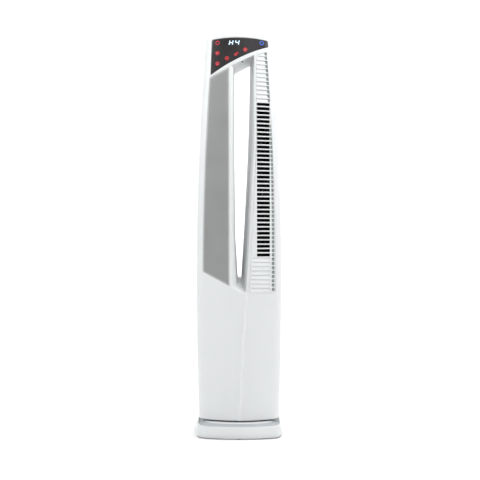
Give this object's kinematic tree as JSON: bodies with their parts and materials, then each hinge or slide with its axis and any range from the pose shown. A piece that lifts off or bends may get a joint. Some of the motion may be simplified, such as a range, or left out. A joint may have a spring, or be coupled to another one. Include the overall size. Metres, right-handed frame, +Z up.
{
  "type": "ceramic tower heater",
  "caption": "Slim upright ceramic heater on a swivelling base, with a tapered slot through its casing, a perforated intake beside it, a louvred outlet and a glossy slanted touch panel.",
  "frame": {"origin": "on the floor under the centre of the base, which is also the swivel's axis", "axes": "+Z up, the front (touch panel and outlet) faces -Y, +X is to the right for someone facing the front"},
  "size_m": [0.2112, 0.236, 0.978],
  "materials": {
    "white_plastic": "satin moulded",
    "black_gloss": "polished",
    "grey_mesh": "fine matte",
    "charcoal_foam": "open-cell foam",
    "inner_plastic": "moulded, black",
    "steel": "bright",
    "zinc_steel": "zinc plated",
    "copper_winding": "enamelled wire",
    "aluminium": "rolled",
    "ceramic": "fired",
    "black_rubber": "moulded",
    "board_green": "solder mask",
    "clear_guide": "clear",
    "ptfe": "slippery",
    "brass": "turned",
    "wire_sheath": "sheathed",
    "heat_board": "mica laminate",
    "relay_blue": "moulded"
  },
  "bodies": {
    "base": {"base_housing": "white_plastic", "cord_inlet_bush": "black_rubber", "base_bottom_plate": "inner_plastic", "base_screws": "zinc_steel", "rubber_feet": "black_rubber", "ballast_plate": "steel", "tip_switch_body": "inner_plastic", "tip_switch_spring": "steel", "swivel_washer": "ptfe", "swing_motor": "zinc_steel", "base_lead": "wire_sheath"},
    "tower": {"front_shell": "white_plastic", "rear_shell": "white_plastic", "case_screws": "zinc_steel", "slot_liner": "white_plastic", "remote_eye": "black_gloss", "control_lens": "black_gloss", "lens_carrier": "inner_plastic", "icon_lights": "clear_guide", "display_module": "black_gloss", "control_board": "board_green", "intake_grille": "grey_mesh", "intake_foam": "charcoal_foam", "louvre_grille": "white_plastic", "rear_foam": "charcoal_foam", "tower_floor": "inner_plastic", "pivot_retainer": "zinc_steel", "gear_sector": "ptfe", "blower_scroll_front": "inner_plastic", "blower_scroll_rear": "inner_plastic", "blower_screws": "zinc_steel", "inlet_ring": "inner_plastic", "motor_stator": "steel", "motor_winding": "copper_winding", "motor_bracket_front": "zinc_steel", "motor_bracket_rear": "zinc_steel", "motor_bushings": "brass", "hot_air_duct": "heat_board", "heater_fins": "aluminium", "heater_electrodes": "brass", "heater_stones": "ceramic", "heater_end_blocks": "heat_board", "thermostat": "steel", "thermal_fuse": "brass", "power_board": "board_green", "power_relays": "relay_blue", "power_capacitor": "black_gloss", "terminal_block": "ptfe", "tower_lead": "wire_sheath", "heater_lead": "wire_sheath", "panel_lead": "wire_sheath"},
    "swing_pinion": {"swing_pinion": "brass"},
    "tip_plunger": {"tip_switch_plunger": "ptfe"},
    "filter_cover": {"filter_cover": "white_plastic"},
    "blower_wheel": {"impeller": "inner_plastic", "motor_shaft": "steel", "motor_rotor": "aluminium"}
  },
  "joints": [
    {"name": "tower_swivel", "type": "hinge", "parent": "base", "child": "tower", "pos_m": [0, 0, 0.038], "axis": [0, 0, 1], "range_deg": [-30, 30]},
    {"name": "pinion_spin", "type": "hinge", "parent": "base", "child": "swing_pinion", "pos_m": [0, 0.054, 0.024], "axis": [0, 0, 1], "range_deg": [-150, 150]},
    {"name": "plunger_travel", "type": "slide", "parent": "base", "child": "tip_plunger", "axis": [0, 0, -1], "range_m": [0, 0.004]},
    {"name": "blower_spin", "type": "hinge", "parent": "tower", "child": "blower_wheel", "pos_m": [-0.004, -0.04, 0.168], "axis": [0, 1, 0], "continuous": true},
    {"name": "filter_cover_pull", "type": "slide", "parent": "tower", "child": "filter_cover", "axis": [0, 1, 0], "range_m": [0, 0.06]}
  ],
  "couplings": [
    {"joint": "pinion_spin", "follows": "tower_swivel", "ratio": -5}
  ]
}
